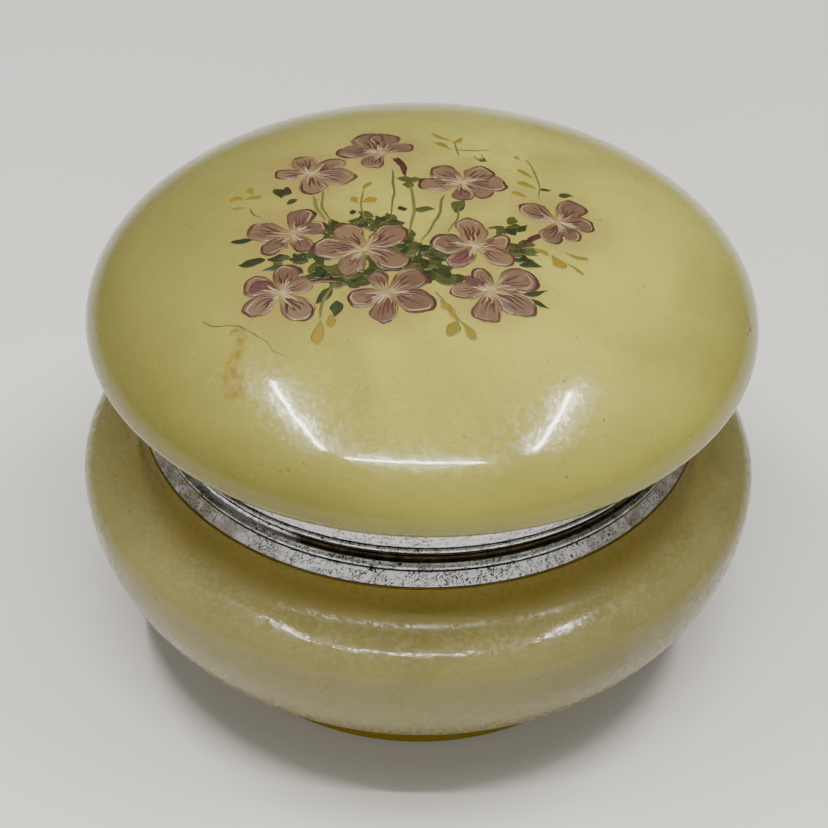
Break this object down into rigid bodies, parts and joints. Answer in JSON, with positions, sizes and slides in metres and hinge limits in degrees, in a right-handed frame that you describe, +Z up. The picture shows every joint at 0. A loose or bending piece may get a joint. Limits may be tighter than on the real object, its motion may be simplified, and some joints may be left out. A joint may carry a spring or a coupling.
{
  "type": "trinket box",
  "caption": "Round turned-stone trinket box with a domed, flower-painted lid that hinges open at the back on plated metal collars.",
  "frame": {"origin": "centre of the resting face of the foot ring", "axes": "+Z up along the axis the stone was turned on, +Y towards the hinge at the back, -Y towards the front"},
  "size_m": [0.1138, 0.1138, 0.0818],
  "materials": {
    "base_stone": "polished, yellow-brown, cloudy",
    "lid_stone": "polished, olive-cream, cloudy, painted flowers",
    "plaster": "matte, stained brown at its edge",
    "plated_collar": "worn and pitted plating on brass",
    "plated_lip": "satin, plating thin",
    "plated_hinge": "worn plating",
    "pin_steel": "drawn wire"
  },
  "bodies": {
    "base": {"base_bowl": "base_stone", "base_plaster_bed": "plaster", "base_collar": "plated_collar", "base_locating_lip": "plated_lip", "base_hinge_leaf": "plated_hinge", "hinge_pin": "pin_steel"},
    "lid": {"lid_dome": "lid_stone", "lid_plaster_bed": "plaster", "lid_collar": "plated_collar", "lid_hinge_leaf": "plated_hinge"}
  },
  "joints": [
    {"name": "lid_hinge", "type": "hinge", "parent": "base", "child": "lid", "pos_m": [0, 0.04625, 0.0484], "axis": [-1, 0, 0], "range_deg": [0, 100]}
  ]
}
